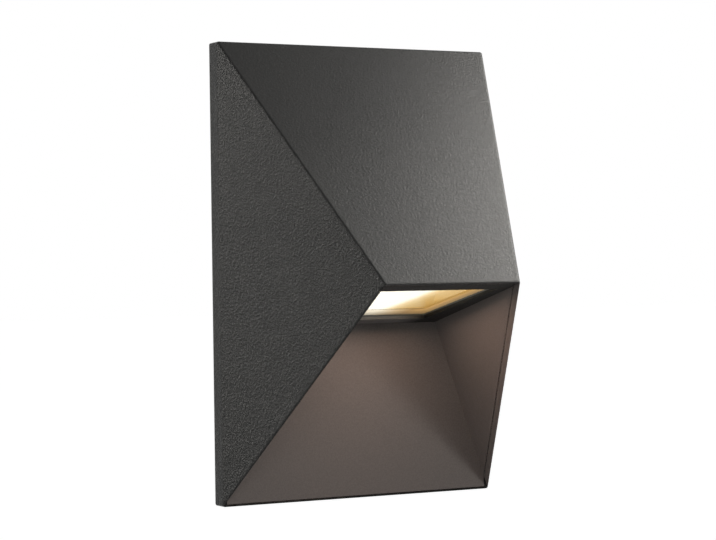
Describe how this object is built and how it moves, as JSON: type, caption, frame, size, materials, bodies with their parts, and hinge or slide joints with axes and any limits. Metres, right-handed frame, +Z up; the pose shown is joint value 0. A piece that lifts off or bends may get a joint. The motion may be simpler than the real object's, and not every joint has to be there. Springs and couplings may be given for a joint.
{
  "type": "outdoor wall pack light",
  "caption": "Faceted down-light for an outside wall: a cast wedge cover over a base plate, with a glass window in the soffit of its open lower recess.",
  "frame": {"origin": "centre of the cable entry on the wall plane, which is the middle of the light's width and height", "axes": "+X along the wall to the viewer's right, +Y into the wall, +Z up; the light is on the side of negative Y"},
  "size_m": [0.15, 0.0998, 0.223],
  "materials": {
    "housing_paint": "cast, dark grey sand-textured coating",
    "liner_paint": "cast, smooth satin grey-brown coating",
    "zinc_screw": "zinc plated",
    "zinc_sheet": "zinc plated sheet",
    "seal_rubber": "matt black",
    "foam_rubber": "closed-cell foam",
    "clear_glass": "clear, ground edges",
    "bright_reflector": "bright, lightly hammered",
    "white_board": "metal-core board, white solder mask",
    "light_chip": "phosphor lens",
    "white_plastic": "moulded",
    "bare_aluminium": "mill finish sheet",
    "grey_silicone": "soft pad",
    "driver_plastic": "moulded case, potted",
    "lead_sheath": "insulated wire",
    "earth_sheath": "insulated wire",
    "led_lead_sheath": "insulated wire"
  },
  "bodies": {
    "root": {"housing_shell": "housing_paint", "recess_liner": "liner_paint", "liner_screws": "zinc_screw", "window_gasket": "seal_rubber", "window_glass": "clear_glass", "glass_clamp": "zinc_sheet", "clamp_screws": "zinc_screw", "reflector": "bright_reflector", "led_board": "white_board", "led_chips": "light_chip", "led_connector": "white_plastic", "led_board_screws": "zinc_screw", "led_carrier": "bare_aluminium", "thermal_pad": "grey_silicone", "carrier_screws": "zinc_screw", "base_plate": "zinc_sheet", "wall_gasket": "foam_rubber", "housing_screws": "zinc_screw", "cable_grommet": "seal_rubber", "led_driver": "driver_plastic", "driver_screws": "zinc_screw", "terminal_block": "white_plastic", "terminal_screws": "zinc_screw", "terminal_fixing_screw": "zinc_screw", "earth_washer": "zinc_sheet", "earth_screw": "zinc_screw", "mains_leads": "lead_sheath", "earth_lead": "earth_sheath", "led_leads": "led_lead_sheath"}
  },
  "joints": []
}
